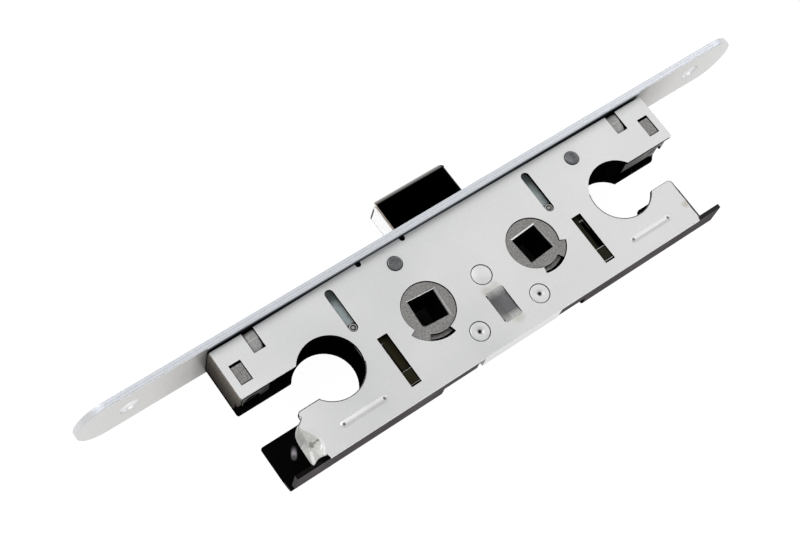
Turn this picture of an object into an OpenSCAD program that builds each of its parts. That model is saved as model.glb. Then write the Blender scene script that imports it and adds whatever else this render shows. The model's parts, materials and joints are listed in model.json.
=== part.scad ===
// Sliding door mortise lock, two cylinders and two spindles, in millimetres.
// The lock lies on its back: +Y is the way the bolt is thrown, +Z comes out of
// the cover, X runs along the faceplate. The origin is the middle of the
// faceplate's rear face, which seats in the door edge. Inside the modules
// everything is written in plan coordinates: x along the case, d = depth behind
// that face, z above the middle plane of the case. place() turns them into the
// frame.

/* [Faceplate] */
// Length of the faceplate over its round ends
face_l = 222.8; // [214:0.2:240]
// Width of the faceplate
face_w = 18; // [17:0.5:22]
// Thickness of the faceplate
face_t = 2; // [2:0.1:3]
// Distance between the two countersunk fixing holes
fix_spacing = 192; // [184:1:200]
// Diameter of the fixing holes
fix_hole_d = 6; // [4:0.1:6.4]

/* [Case] */
// Half length of the case
case_hl = 73.2; // [73:0.1:74]
// Depth of the cover behind the faceplate
case_d = 40.2; // [40:0.1:42]
// Thickness of the case over both plates
case_t = 13.5; // [13.4:0.05:13.7]
// Thickness of the cover sheet
cover_t = 1.0; // [0.9:0.05:1.05]
// Thickness of the rear shell sheet
shell_t = 1.2; // [1.1:0.05:1.25]

/* [Interfaces] */
// Distance of cylinder and spindle axes behind the faceplate's rear face
backset_d = 20.6; // [20.4:0.1:20.8]
// Distance of the cylinder axes from the middle
cyl_x = 49.2; // [49:0.1:49.4]
// Radius of the round part of the cylinder cut-outs
cyl_r = 9; // [8.6:0.1:9.1]
// Width of the leg part of the cylinder cut-outs
leg_w = 10.4; // [10.2:0.1:10.6]
// Distance of the spindle axes from the middle
hub_x = 17.8; // [17.7:0.05:17.9]
// Width across the flats of the spindle squares
square_w = 8.1; // [7.1:0.1:8.2]
// Distance of the cylinder screws from the middle
cyl_screw_x = 69.2; // [69:0.1:69.3]
// Radius of the cylinder screw holes
cyl_screw_r = 2.65; // [2.5:0.05:2.7]

/* [Bolt] */
// Width of the bolt head
bolt_w = 24; // [23.6:0.1:24]
// Thickness of the bolt head
bolt_t = 9; // [8.8:0.1:9]
// How far the bolt head stands out of the faceplate at rest
bolt_out = 11.4; // [11.2:0.1:11.5]
// Travel of the bolt and of the lock slides
travel = 10.9; // [10.9:0.1:10.9]
// How far each claw swings out
claw_swing = 22; // [22:1:22]

/* [Hidden] */
$fn = 64;

z_top = case_t / 2;                 // outer face of the cover
z_ct = z_top - cover_t;             // under side of the cover
z_bot = -case_t / 2;                // outer face of the shell
z_sb = z_bot + shell_t;             // inner face of the shell
tip_d = -face_t - bolt_out;         // front of the bolt head
pivot_d = 6.3;                      // axis of the claws
claw_pin = [3.6, 2.0];              // fixed pin that steers a claw
front_rivet = [[-18, 5.6], [43.4, 5.8]];
rear_post = [[-10.2, 33.4], [10.2, 33.4]];
guide_slot_x = [-37.9, 28.4];       // guide slots in the cover
arm_r = 13.95;                      // hub axis to the middle of the arm's tip
arm_rest = 157;                     // direction of the right arm at rest
hub_r = 7.4;
bend_r = 1.0;                       // outside of the shell's bend
blk_pin = [30.4, 18.5];             // pin of the right blocker
blk_move = 2.6;                     // how far a blocker moves inwards

silver = [0.80, 0.81, 0.82];
zinc = [0.55, 0.54, 0.53];
black = [0.07, 0.07, 0.08];
bluegrey = [0.50, 0.56, 0.56];
steel = [0.47, 0.49, 0.50];

module place() { mirror([0, 1, 0]) children(); }
module slab(z0, z1) { translate([0, 0, z0]) linear_extrude(z1 - z0) children(); }
module block(x0, x1, d0, d1, z0, z1) {
    translate([min(x0, x1), d0, z0]) cube([abs(x1 - x0), d1 - d0, z1 - z0]);
}
module rod_z(x, d, r, z0, z1) { translate([x, d, z0]) cylinder(r = r, h = z1 - z0); }
module rod_d(x, z, r, d0, d1) { translate([x, d0, z]) rotate([-90, 0, 0]) cylinder(r = r, h = d1 - d0); }
// countersink that opens towards the faceplate's outer face
module sink(x, z, r, r_out, depth) {
    g = (r_out - r) / depth;
    translate([x, -face_t - 0.2, z]) rotate([-90, 0, 0])
        cylinder(r1 = r_out + 0.2 * g, r2 = r, h = depth + 0.2);
}
module rect2(x0, x1, d0, d1) { translate([min(x0, x1), d0]) square([abs(x1 - x0), d1 - d0]); }
// slot with round ends between two points
module slot2(a, b, w) {
    len = norm(b - a);
    translate(a) rotate(atan2(b[1] - a[1], b[0] - a[0])) translate([0, -w / 2]) square([len, w]);
    translate(a) circle(d = w);
    translate(b) circle(d = w);
}
module sector2(r, a0, a1) {
    m = (a0 + a1) / 2;
    intersection() {
        circle(r = r);
        polygon([[0, 0], 2 * r * [cos(a0), sin(a0)], 2 * r * [cos(m), sin(m)], 2 * r * [cos(a1), sin(a1)]]);
    }
}
module both() { for (s = [-1, 1]) scale([s, 1, 1]) children(); }

// ---------------------------------------------------------------- faceplate
module faceplate() {
    color(silver) place() difference() {
        rotate([90, 0, 0]) linear_extrude(face_t) union() {
            square([face_l - face_w, face_w], center = true);
            for (s = [-1, 1]) translate([s * (face_l - face_w) / 2, 0]) circle(d = face_w, $fn = 96);
        }
        block(-bolt_w / 2 - 0.3, bolt_w / 2 + 0.3, -face_t - 1, 1, -bolt_t / 2 - 0.3, bolt_t / 2 + 0.3);
        for (s = [-1, 1]) {
            rod_d(s * fix_spacing / 2, 0, fix_hole_d / 2, -face_t - 1, 1);
            sink(s * fix_spacing / 2, 0, fix_hole_d / 2, fix_hole_d / 2 + 1.3, face_t - 0.8);
            rod_d(s * cyl_screw_x, 0, cyl_screw_r, -face_t - 1, 1);
            sink(s * cyl_screw_x, 0, cyl_screw_r, 4.6, face_t - 0.5);
            rod_d(s * 61.4, 0, 1.7, -face_t - 1, 1);
            sink(s * 61.4, 0, 1.7, 2.9, 1.2);
        }
    }
}

// --------------------------------------------------------------------- case
// outline shared by both halves of a case plate; end is where the rear horn ends,
// rh the radius of the horn's corner, cut how far its rear corner is cut off
module horn_outline2(depth, end, d0, rh, cut) {
    lip0 = backset_d - leg_w / 2;
    lip1 = backset_d + leg_w / 2;
    rf = 0.7;
    both() {
        polygon([[-1, d0], [case_hl, d0], [case_hl, lip0 - rf], [case_hl - rf, lip0],
                 [cyl_x + 6.8, lip0], [cyl_x + 6.8, lip1], [end - rh, lip1], [end, lip1 + rh],
                 [end, depth - 3], [end - cut, depth], [-1, depth]]);
        translate([case_hl - rf, lip0 - rf]) circle(r = rf);
        translate([end - rh, lip1 + rh]) circle(r = rh);
    }
}
module cyl_cut2() { for (s = [-1, 1]) translate([s * cyl_x, backset_d]) circle(r = cyl_r, $fn = 96); }

module cover_plate() {
    color(silver) place() {
        difference() {
            union() {
                slab(z_ct, z_top) horn_outline2(case_d, 63.6, 0, 1.3, 0.8);
                // end walls
                both() block(case_hl - 1, case_hl, 0.3, 13.2, -5.4, z_top - 0.1);
                // the left one reaches further back above the shell's flange
                block(-case_hl, 1 - case_hl, 13.1, 14.6, -0.75, z_top - 0.1);
                // short rear wall
                block(-13, 13, case_d - 1, case_d, 0.25, z_top - 0.1);
                // stiffening ribs
                both() slab(z_top - 0.2, z_top + 0.5) slot2([42.6, 34.8], [55, 34.8], 2);
                // bent tab of the left rear horn
                translate([0, 28.6, 0]) translate([0, 9.6, 0]) rotate([90, 0, 0]) linear_extrude(9.6)
                    polygon([[-62.6, z_top - 0.05], [-63.5, z_top - 0.05], [-67.1, 3.0], [-66.4, 2.3], [-63.0, z_ct], [-62.6, z_ct]]);
            }
            slab(z_ct - 1, z_top + 1) {
                cyl_cut2();
                both() {
                    rect2(59.9, 63.5, -1, 6.8);
                    rect2(67.5, 71.0, 6.2, 12.3);
                    rect2(31.45, 34.65, 20.5, 36.2);
                    translate([hub_x, backset_d]) {
                        circle(r = hub_r + 0.2, $fn = 96);
                        sector2(9.5, 25.2, 104);
                    }
                }
                for (p = rear_post) translate(p) circle(r = 2.9);
                for (p = front_rivet) translate(p) circle(r = 1.75);
                for (x = guide_slot_x) slot2([x, 3.6], [x, 14.5], 2.6);
                translate([0, backset_d]) circle(r = 3.03);
                rect2(-2.9, 2.9, 26.2, 34.9);
                for (x = [-26.5, -12.0]) slot2([x, -1], [x, 0.6], 1.6);
            }
        }
    }
}

module back_shell() {
    lip0 = backset_d - leg_w / 2;
    color(black) place() difference() {
        union() {
            slab(z_bot, z_sb) horn_outline2(39.5, case_hl, 0.1, 0.5, 0.2);
            // rear walls, lower past the cover's horns and shallow next to the open middle
            block(-72, -61.5, 38.3, 39.5, z_bot + 0.1, 2.6);
            block(-61.6, -24.5, 38.3, 39.5, z_bot + 0.1, 5.6);
            block(24.5, 64.1, 38.3, 39.5, z_bot + 0.1, 5.6);
            block(64, case_hl, 38.3, 39.5, z_bot + 0.1, 2.6);
            both() block(13.6, 24.6, 38.3, 39.5, -2.05, 5.6);
            // flanges along the leg openings, the right one low
            block(-57.2, 0.2 - case_hl, lip0 - 1.2, lip0, z_bot + 0.1, -0.95);
            block(57.2, 70.2, lip0 - 1.2, lip0, z_bot + 0.1, -4.4);
        }
        slab(z_bot - 1, z_sb + 0.5) {
            cyl_cut2();
            both() {
                translate([hub_x, backset_d]) circle(r = hub_r + 0.2, $fn = 96);
                rect2(67.5, 71.0, 6.2, 12.3);
                rect2(-1, 24.5, 36.6, 40);
            }
            for (p = rear_post) translate(p) circle(r = 2.55);
            for (p = front_rivet) translate(p) circle(r = 1.75);
        }
        for (s = [-1, 1]) rod_d(s * cyl_screw_x, 0, 2.9, 10, 20);
        // the right horn ends a little earlier than its wall
        slab(z_bot - 1, z_sb + 0.5)
            polygon([[69.9, 25.7], [70.8, 26.15], [71.2, 27], [71.2, 38.3], [74, 38.3], [74, 25.7]]);
        // corner cut off in front of the right leg opening
        slab(z_bot - 1, z_sb + 0.5) polygon([[70.4, 15.5], [72.4, 13.5], [74, 13.5], [74, 15.5]]);
        // outside of the bend between plate and rear wall
        difference() {
            block(-80, 80, 39.5 - bend_r, 41, z_bot - 1, z_bot + bend_r);
            translate([-81, 39.5 - bend_r, z_bot + bend_r]) rotate([0, 90, 0]) cylinder(r = bend_r, h = 162);
        }
    }
}

// zinc block behind each end of the faceplate, s = -1 left, 1 right
module end_block(s) {
    difference() {
        union() {
            difference() {
                union() {
                    block(s * 58.5, s * 72.1, 0.15, 14.9, -0.8, 5.7);
                    block(s * 58.5, s * 72.1, 0.15, 14.0, -5.5, -0.7);
                }
                rod_z(s * cyl_x, backset_d, 15.8, -7, 7);
                // recesses round the boss and round the lug
                block(s * 59.5, s * 63.9, 0.1, 7.0, 3.4, 6);
                block(s * 67.4, s * 71.1, 6.1, 12.4, 4.2, 6);
            }
            if (s > 0) block(57.0, 66, 13.1, 14.9, -0.8, 5.7);
            // half round boss in the cover's front notch
            rod_d(s * 61.6, 4.1, 1.75, 0.8, 6.5);
            // lugs in the windows of the two case plates
            block(s * 67.7, s * 70.8, 6.9, 12.0, 4.1, 6.5);
            block(s * 67.7, s * 70.8, 6.9, 12.0, -6.5, -5.4);
        }
        rod_d(s * cyl_screw_x, 0, cyl_screw_r, -1, 16);
        rod_d(s * 61.4, 0, 1.65, -1, 9);
    }
}
module end_block_left() { color(zinc) place() end_block(-1); }
module end_block_right() { color(zinc) place() end_block(1); }

module case_screws() {
    color(steel) place() for (s = [-1, 1]) difference() {
        union() {
            translate([s * 61.4, -face_t + 0.02, 0]) rotate([-90, 0, 0]) cylinder(r1 = 2.82, r2 = 1.6, h = 1.22);
            rod_d(s * 61.4, 0, 1.6, -face_t + 1.2, 8.2);
        }
        // cross recess
        for (a = [0, 90]) translate([s * 61.4, -face_t, 0]) rotate([0, a, 0])
            cube([2.6, 1.6, 0.6], center = true);
    }
}

// ---------------------------------------------------- zinc guide and spacer
module bolt_guide() {
    color(bluegrey) place() difference() {
        union() {
            block(-16, 16, 0.2, 4.5, -5.45, 5.65);
            block(-43, -12.4, 0.2, 12.8, 0.7, 2.9);
            block(12.4, 47, 0.2, 12.8, 0.7, 2.9);
            for (p = front_rivet) rod_z(p[0], p[1], 2.9, -5.45, 5.65);
        }
        block(-12.15, 12.15, -1, 20, -4.65, 4.65);
        for (p = front_rivet) rod_z(p[0], p[1], 1.75, -7, 7);
        rod_z(claw_pin[0], claw_pin[1], 1.22, 0, 7);
        rod_z(-claw_pin[0], claw_pin[1], 1.22, -7, 0);
        for (s = [-1, 1]) rod_z(s * cyl_x, backset_d, 11.5, 0, 5);
    }
}
module front_rivets() {
    color(steel) place() for (p = front_rivet) {
        rod_z(p[0], p[1], 1.7, z_bot - 0.2, z_top + 0.2);
        rod_z(p[0], p[1], 2.2, z_top + 0.02, z_top + 0.4);
        rod_z(p[0], p[1], 2.6, z_bot - 0.5, z_bot - 0.02);
    }
}
module rear_posts() {
    color(silver) place() for (p = rear_post) difference() {
        union() {
            rod_z(p[0], p[1], 2.5, z_bot + 0.05, z_ct);
            rod_z(p[0], p[1], 2.86, z_ct + 0.02, z_top + 0.05);
            rod_z(p[0], p[1], 2.4, z_ct - 0.5, z_ct + 0.5);
        }
        // dimple left by the riveting punch
        translate([p[0], p[1], z_top - 0.55]) cylinder(r1 = 0.35, r2 = 1.1, h = 0.7);
    }
}
module centre_stud() {
    color(silver) place() rod_z(0, backset_d, 3, 3.4, z_top - 0.02);
}
module detent_spring() {
    color(steel) place() union() {
        difference() {
            union() {
                block(-10.2, 10.2, 31.6, 35.2, 5.15, 5.6);
                for (p = rear_post) rod_z(p[0], p[1], 3.5, 5.15, 5.6);
            }
            for (p = rear_post) rod_z(p[0], p[1], 2.55, 4, 7);
        }
        // roof shaped tongue in the cover's window
        translate([0, 34.6, 0]) rotate([90, 0, 0]) linear_extrude(8)
            polygon([[-2.6, 5.15], [2.6, 5.15], [2.6, 5.95], [-0.5, 6.4], [-2.6, 5.85]]);
        // its ends rise to the cover's outer face
        translate([-2.6, 0, 0]) rotate([90, 0, 90]) linear_extrude(5.2) {
            polygon([[26.3, 6.7], [26.3, 6.3], [27.7, 5.4], [27.9, 5.8], [27.6, 6.1]]);
            polygon([[34.8, 6.7], [34.8, 6.3], [33.4, 5.4], [33.2, 5.8], [33.5, 6.1]]);
        }
        // nose that drops into the bolt tail's groove
        translate([-2.4, 28.0, 4.55]) rotate([0, 90, 0]) cylinder(r = 1.2, h = 4.8);
    }
}
module claw_pins() {
    color(steel) place() {
        rod_z(claw_pin[0], claw_pin[1], 1.2, 0.2, 5.6);
        rod_z(-claw_pin[0], claw_pin[1], 1.2, -5.4, -0.2);
    }
}

// --------------------------------------------------------------------- bolt
module bolt_head() {
    w = bolt_w / 2;
    t = bolt_t / 2;
    r = 2;
    color(black) place() difference() {
        intersection() {
            slab(-t, t) union() {
                rect2(-w, w, tip_d + r, 15.5);
                rect2(-w + r, w - r, tip_d, 15.5);
                for (s = [-1, 1]) translate([s * (w - r), tip_d + r]) circle(r = r);
                rect2(-7.3, 7.3, 15, 19);
            }
            // rounded long edges of the nose
            translate([-w - 1, 0, 0]) rotate([90, 0, 90]) linear_extrude(2 * w + 2) union() {
                rect2(tip_d + r, 20, -t, t);
                rect2(tip_d, 20, -t + r, t - r);
                for (s = [-1, 1]) translate([tip_d + r, s * (t - r)]) circle(r = r);
            }
        }
        // hollow for the claws, open at the sides in front
        block(-w - 1, w + 1, tip_d + 1.4, 2.3, -3, 3);
        block(-10.5, 10.5, 0.9, 21, -3, 3);
        // room for the fixed pins that steer the claws
        slab(0, 9) slot2([claw_pin[0], 2.0], [claw_pin[0], 2.0 + travel], 2.7);
        slab(-9, 0) slot2([-claw_pin[0], 2.0], [-claw_pin[0], 2.0 + travel], 2.7);
        // windows for the blockers
        block(-w - 1, w + 1, 4.6, 12.7, -2.7, 0.7);
        rod_z(0, pivot_d, 1.52, -9, 9);
        for (s = [-1, 1]) rod_z(s * 5.2, 17.3, 1.53, -9, 9);
        // groove for the centre stud
        block(-3.2, 3.2, 17.4, 21, 2, 9);
    }
}
module arm_pocket2() {
    polygon([[1.8, -1.95], [5.3, -1.95], [7.6, -3.35], [7.6, 3.35], [5.3, 1.95], [1.8, 1.95]]);
}
module bolt_tail() {
    color(zinc) place() difference() {
        union() {
            block(-7.2, 7.2, 15.7, 19.6, -2.95, 2.95);
            block(-7.3, 7.3, 19.3, 37, -5.3, 5.0);
        }
        block(-3.2, 3.2, 15, 38, 3.1, 6);
        both() slab(-2.45, 2.45) translate([0, 26.05]) arm_pocket2();
        for (s = [-1, 1]) rod_z(s * 5.2, 17.3, 1.53, -9, 9);
    }
}
module tail_rivets() {
    color(steel) place() for (s = [-1, 1]) rod_z(s * 5.2, 17.3, 1.5, -4.45, 4.45);
}
module claw_pivot() { color(steel) place() rod_z(0, pivot_d, 1.5, -4.48, 4.48); }

// -------------------------------------------------------------------- claws
// point of the steering slot after the bolt has moved by m, about the pivot
function claw_path(m) = let (f = claw_swing * m / travel, y = claw_pin[1] - pivot_d + m)
    [claw_pin[0] * cos(f) + y * sin(f), -claw_pin[0] * sin(f) + y * cos(f)];
function claw_dir(m) = let (t = claw_path(m + 0.05) - claw_path(m - 0.05)) t / norm(t);
// outline of the steering slot: both sides along the path and a round at each end
module claw_slot2(h) {
    n = 10;
    a0 = atan2(claw_dir(0)[1], claw_dir(0)[0]);
    a1 = atan2(claw_dir(travel)[1], claw_dir(travel)[0]);
    polygon([
        for (i = [0 : n]) let (m = travel * i / n, t = claw_dir(m)) claw_path(m) + h * [t[1], -t[0]],
        for (a = [15 : 15 : 165]) claw_path(travel) + h * [cos(a1 - 90 + a), sin(a1 - 90 + a)],
        for (i = [0 : n]) let (m = travel * (n - i) / n, t = claw_dir(m)) claw_path(m) - h * [t[1], -t[0]],
        for (a = [15 : 15 : 165]) claw_path(0) + h * [cos(a0 + 90 + a), sin(a0 + 90 + a)]
    ]);
}
module claw(z0, z1) {
    front = tip_d + 1.6 - pivot_d;
    difference() {
        union() {
            slab(-2.9, 2.9) polygon([[0.4, front], [11.5, front], [11.8, front + 0.3], [11.8, -8.7],
                [8.0, -8.7], [6.5, -7.0], [0.4, -7.0]]);
            slab(z0, z1) polygon([[0.4, -8], [6.5, -8], [7.2, -3.5], [8.3, 0], [8.3, 5.0], [6.7, 6.9],
                [-0.5, 6.9], [-3.2, 4.2], [-3.2, -2.0], [0.4, -4.6]]);
        }
        slab(-9, 9) circle(r = 1.55);
        slab(z0 - 1, z1 + 1) claw_slot2(1.32);
    }
}
module claw_right() { color(steel) place() translate([0, pivot_d, 0]) claw(0.1, 2.9); }
module claw_left() { color(steel) place() translate([0, pivot_d, 0]) scale([-1, 1, 1]) claw(-2.9, -0.1); }

// --------------------------------------------------------------------- hubs
module hub() {
    difference() {
        union() {
            cylinder_z(hub_r, z_bot + 0.1, 6.5);
            slab(5.85, 6.5) sector2(9.3, 25.5, 57.5);
            // lower flange that fills the bottom of the cover's recess
            slab(4.7, 5.5) sector2(8.6, 57, 104);
            rotate([0, 0, arm_rest]) slab(-2.2, 2.2) union() {
                polygon([[4.8, -4.2], [8.5, -2.4], [10.4, -1.3], [arm_r, -1.3],
                         [arm_r, 1.3], [10.4, 1.3], [8.5, 2.4], [4.8, 4.2]]);
                translate([arm_r, 0]) circle(r = 1.8);
            }
        }
        rotate([0, 0, -4.3]) slab(-9, 9) square(square_w, center = true);
    }
}
module cylinder_z(r, z0, z1) { translate([0, 0, z0]) cylinder(r = r, h = z1 - z0, $fn = 96); }
module hub_right() { color(zinc) place() translate([hub_x, backset_d, 0]) hub(); }
module hub_left() { color(zinc) place() translate([-hub_x, backset_d, 0]) scale([-1, 1, 1]) hub(); }

// ------------------------------------------------------- slides and blockers
module lock_slide(s) {
    px = s > 0 ? guide_slot_x[1] : guide_slot_x[0];
    difference() {
        union() {
            slab(3.2, 5.4) scale([s, 1, 1]) union() {
                rect2(25.7, 33.5, 13.0, 36.1);
                rect2(33.4, 36.0, 15.5, 22.0);
                rect2(33.4, 36.0, 31.3, 36.1);
                if (s < 0) rect2(33.4, 39.6, 13.0, 22.0);
            }
            block(s * 31.55, s * 34.55, 31.5, 36.1, 5.3, 6.45);
        }
        slab(3, 6) scale([s, 1, 1]) slot2(blk_pin, blk_pin + [-blk_move, travel], 2.5);
        rod_z(px, 14.5, 1.22, 3, 6);
    }
}
module guide_pin(x) {
    difference() {
        rod_z(x, 14.5, 1.2, 3.2, 6.5);
        rod_z(x, 14.5, 0.5, 5.4, 7);
    }
}
module blocker(s) {
    difference() {
        union() {
            slab(-2.4, 0.4) scale([s, 1, 1]) rect2(12.5, 15.0, 4.9, 12.4);
            slab(-5.3, 0.4) scale([s, 1, 1]) union() {
                rect2(14.8, 32.2, 9.4, 12.4);
                rect2(28.6, 32.2, 12.3, 20.2);
            }
        }
        rod_z(s * blk_pin[0], blk_pin[1], 1.22, -6, 2);
    }
}
module lock_slide_left() { color(black) place() lock_slide(-1); }
module lock_slide_right() { color(black) place() lock_slide(1); }
module guide_pin_left() { color(steel) place() guide_pin(guide_slot_x[0]); }
module guide_pin_right() { color(steel) place() guide_pin(guide_slot_x[1]); }
module blocker_left() { color(steel) place() blocker(-1); }
module blocker_right() { color(steel) place() blocker(1); }
module blocker_pin_left() { color(steel) place() rod_z(-blk_pin[0], blk_pin[1], 1.2, -5.3, 5.3); }
module blocker_pin_right() { color(steel) place() rod_z(blk_pin[0], blk_pin[1], 1.2, -5.3, 5.3); }

faceplate();
cover_plate();
back_shell();
end_block_left();
end_block_right();
case_screws();
bolt_guide();
front_rivets();
rear_posts();
centre_stud();
detent_spring();
claw_pins();
bolt_head();
bolt_tail();
tail_rivets();
claw_pivot();
claw_left();
claw_right();
hub_left();
hub_right();
lock_slide_left();
lock_slide_right();
guide_pin_left();
guide_pin_right();
blocker_left();
blocker_right();
blocker_pin_left();
blocker_pin_right();
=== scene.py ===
import bpy
import bmesh
import json
import math
from mathutils import Matrix, Vector


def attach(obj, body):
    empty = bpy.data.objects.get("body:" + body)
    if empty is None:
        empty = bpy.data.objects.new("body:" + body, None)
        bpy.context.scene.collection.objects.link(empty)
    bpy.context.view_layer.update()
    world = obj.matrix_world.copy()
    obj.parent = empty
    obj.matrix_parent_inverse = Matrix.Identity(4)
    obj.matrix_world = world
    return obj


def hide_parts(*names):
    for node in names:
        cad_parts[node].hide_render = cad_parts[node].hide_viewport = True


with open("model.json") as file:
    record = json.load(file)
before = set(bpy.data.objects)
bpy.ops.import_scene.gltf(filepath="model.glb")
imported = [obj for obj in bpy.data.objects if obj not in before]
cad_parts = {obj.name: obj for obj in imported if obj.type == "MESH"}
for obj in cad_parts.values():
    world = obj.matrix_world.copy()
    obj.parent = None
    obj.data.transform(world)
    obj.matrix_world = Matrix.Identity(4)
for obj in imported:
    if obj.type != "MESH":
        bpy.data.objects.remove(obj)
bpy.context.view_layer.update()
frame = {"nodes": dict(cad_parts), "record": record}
MM = 0.001
Z_TOP, Z_CT = 6.75, 5.75
Z_BOT, Z_SB = -6.75, -5.55
SC = bpy.context.scene


def P(x, d, z):
    """Plan coordinates in mm (x along, d behind the faceplate's rear face, z up) to the frame in metres."""
    return Vector((x * MM, -d * MM, z * MM))


# ------------------------------------------------------------------ materials
def new_mat(name):
    m = bpy.data.materials.new(name)
    m.use_nodes = True
    nt = m.node_tree
    bsdf = nt.nodes["Principled BSDF"]
    return m, nt, bsdf


def add(nt, kind, **props):
    n = nt.nodes.new(kind)
    for k, v in props.items():
        setattr(n, k, v)
    return n


def link(nt, a, ao, b, bi):
    nt.links.new(a.outputs[ao], b.inputs[bi])


def ramp(nt, stops):
    r = add(nt, "ShaderNodeValToRGB")
    e = r.color_ramp.elements
    while len(e) < len(stops):
        e.new(0.5)
    for i, (pos, col) in enumerate(stops):
        e[i].position = pos
        e[i].color = (*col, 1) if len(col) == 3 else col
    return r


def coords(nt, scale=(1, 1, 1), rot=(0, 0, 0)):
    tc = add(nt, "ShaderNodeTexCoord")
    mp = add(nt, "ShaderNodeMapping")
    mp.inputs["Scale"].default_value = scale
    mp.inputs["Rotation"].default_value = rot
    link(nt, tc, "Object", mp, "Vector")
    return mp


def noise(nt, vec, scale, detail=4.0, rough=0.5):
    n = add(nt, "ShaderNodeTexNoise")
    n.inputs["Scale"].default_value = scale
    n.inputs["Detail"].default_value = detail
    n.inputs["Roughness"].default_value = rough
    link(nt, vec, "Vector", n, "Vector")
    return n


def mix_rgb(nt, fac_node, fac_out, a, b, blend="MIX", fac=None):
    m = add(nt, "ShaderNodeMix", data_type="RGBA", blend_type=blend)
    if fac_node is not None:
        link(nt, fac_node, fac_out, m, 0)
    if fac is not None:
        m.inputs[0].default_value = fac
    for i, v in ((6, a), (7, b)):
        if isinstance(v, tuple) and isinstance(v[0], bpy.types.Node):
            nt.links.new(v[0].outputs[v[1]], m.inputs[i])
        else:
            m.inputs[i].default_value = (*v, 1)
    return m


def metal(name, dark, light, metallic, rough, grain=900.0, grain_amt=0.35, cloud=45.0, bump=0.02,
          streak=None, rough_var=0.08, spec=0.5, aniso=0.0):
    """Plated or cast metal: colour between dark and light by a cloudy and a fine noise, roughness and bump from the same."""
    m, nt, b = new_mat(name)
    mp = coords(nt, streak or (1, 1, 1))
    big = noise(nt, mp, cloud, 3.0, 0.6)
    fine = noise(nt, mp, grain, 5.0, 0.65)
    mid = add(nt, "ShaderNodeMix", data_type="FLOAT")
    mid.inputs[0].default_value = grain_amt
    link(nt, big, 0, mid, 2)
    link(nt, fine, 0, mid, 3)
    cr = ramp(nt, [(0.30, dark), (0.70, light)])
    link(nt, mid, 0, cr, 0)
    link(nt, cr, 0, b, "Base Color")
    rr = add(nt, "ShaderNodeMapRange")
    rr.inputs["From Min"].default_value = 0.3
    rr.inputs["From Max"].default_value = 0.7
    rr.inputs["To Min"].default_value = max(0.02, rough - rough_var)
    rr.inputs["To Max"].default_value = rough + rough_var
    link(nt, big, 0, rr, 0)
    link(nt, rr, 0, b, "Roughness")
    bp = add(nt, "ShaderNodeBump")
    bp.inputs["Strength"].default_value = 1.0
    bp.inputs["Distance"].default_value = bump * MM
    link(nt, fine, 0, bp, "Height")
    link(nt, bp, 0, b, "Normal")
    b.inputs["Metallic"].default_value = metallic
    b.inputs["Specular IOR Level"].default_value = spec
    return m


def graded(name, axis, stops, metallic, rough, spec=0.4, grain=1500.0, grain_amt=0.35, bump=0.004, lo=0.0, hi=1.0, mirror_axis=False):
    """Metal whose colour runs along one frame axis between lo and hi (mm), with fine grain on top."""
    m, nt, b = new_mat(name)
    tc = add(nt, "ShaderNodeTexCoord")
    sep = add(nt, "ShaderNodeSeparateXYZ")
    link(nt, tc, "Object", sep, 0)
    src, out = sep, axis
    if mirror_axis:
        ab = add(nt, "ShaderNodeMath", operation="ABSOLUTE")
        nt.links.new(sep.outputs[axis], ab.inputs[0])
        src, out = ab, 0
    mr = add(nt, "ShaderNodeMapRange")
    mr.inputs["From Min"].default_value = lo * MM
    mr.inputs["From Max"].default_value = hi * MM
    link(nt, src, out, mr, 0)
    cr = ramp(nt, stops)
    link(nt, mr, 0, cr, 0)
    mp = coords(nt)
    fine = noise(nt, mp, grain, 4.0, 0.6)
    gr = ramp(nt, [(0.3, (1 - grain_amt,) * 3), (0.7, (1.0, 1.0, 1.0))])
    link(nt, fine, 0, gr, 0)
    mx = mix_rgb(nt, None, 0, (cr, 0), (gr, 0), "MULTIPLY", 1.0)
    link(nt, mx, 2, b, "Base Color")
    bp = add(nt, "ShaderNodeBump")
    bp.inputs["Distance"].default_value = bump * MM
    link(nt, fine, 0, bp, "Height")
    link(nt, bp, 0, b, "Normal")
    b.inputs["Metallic"].default_value = metallic
    b.inputs["Roughness"].default_value = rough
    b.inputs["Specular IOR Level"].default_value = spec
    return m


M = {}
M["cover_steel"] = metal("cover_steel", (0.585, 0.59, 0.59), (0.665, 0.665, 0.66), 0.25, 0.48,
                         grain=1500, grain_amt=0.45, cloud=30, bump=0.004)
# painted shade: near-black copy of the cover steel for the rounded outline edges, read as thin dark lines
M["cover_edge"] = metal("cover_edge", (0.035, 0.032, 0.030), (0.085, 0.078, 0.072), 0.3, 0.45,
                        grain=1500, grain_amt=0.5, cloud=90, bump=0.004)
# painted shade: the end walls run from a light top edge, a painted highlight, to near black at the bottom
M["cover_wall"] = graded("cover_wall", 2, [(0.0, (0.045, 0.041, 0.038)), (0.45, (0.10, 0.090, 0.080)), (0.88, (0.20, 0.178, 0.155)), (1.0, (0.36, 0.335, 0.31))],
                         0.0, 0.5, lo=-5.4, hi=6.7, spec=0.0, grain_amt=0.5)
# painted shade: near-black strips along the cut rims of the cover
M["cover_line"] = metal("cover_line", (0.012, 0.010, 0.009), (0.05, 0.043, 0.038), 0.2, 0.5, grain=1500, grain_amt=0.5, cloud=90, bump=0.002)
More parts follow.
